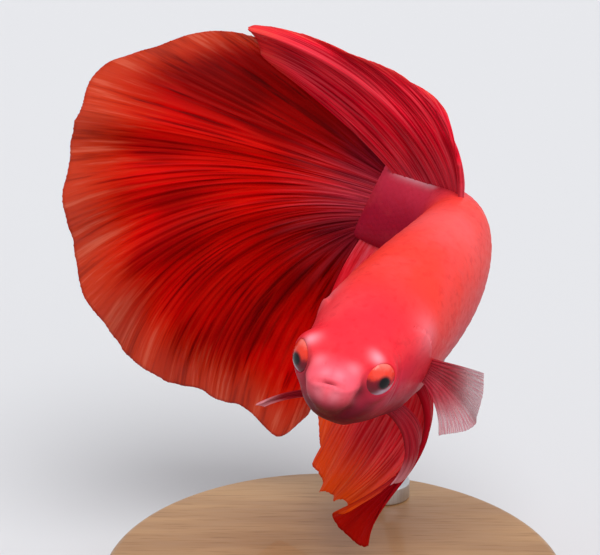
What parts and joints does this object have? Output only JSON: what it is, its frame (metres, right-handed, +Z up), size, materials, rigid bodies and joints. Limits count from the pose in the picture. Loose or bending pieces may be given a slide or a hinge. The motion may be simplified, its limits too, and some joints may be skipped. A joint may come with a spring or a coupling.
{
  "type": "betta fish",
  "caption": "Life-size still model of a red male halfmoon betta, turning sharply with spread fins, on a round wooden base with one leaning steel rod.",
  "frame": {"origin": "centre of the stand base's flat underside", "axes": "+Z up; the fish looks towards -Y with its left side to +X, and its tail turns to -X"},
  "size_m": [0.0434, 0.0415, 0.0493],
  "materials": {
    "flesh": "moist scaled skin, satin",
    "fin": "thin rayed membrane, satin",
    "clear_fin": "nearly clear membrane",
    "eye": "wet, glossy",
    "wood": "oiled, satin",
    "steel": "satin"
  },
  "bodies": {
    "root": {"head": "flesh", "lower_jaw": "flesh", "gill_cover_left": "flesh", "gill_cover_right": "flesh", "trunk": "flesh", "tail_stalk": "flesh", "eye_left": "eye", "eye_right": "eye", "caudal_fin": "fin", "dorsal_fin": "fin", "anal_fin": "fin", "pelvic_fin_left": "fin", "pelvic_fin_right": "fin", "pectoral_fin_left": "clear_fin", "pectoral_fin_right": "clear_fin", "stand_base": "wood", "stand_collar": "steel", "stand_rod": "steel"}
  },
  "joints": []
}
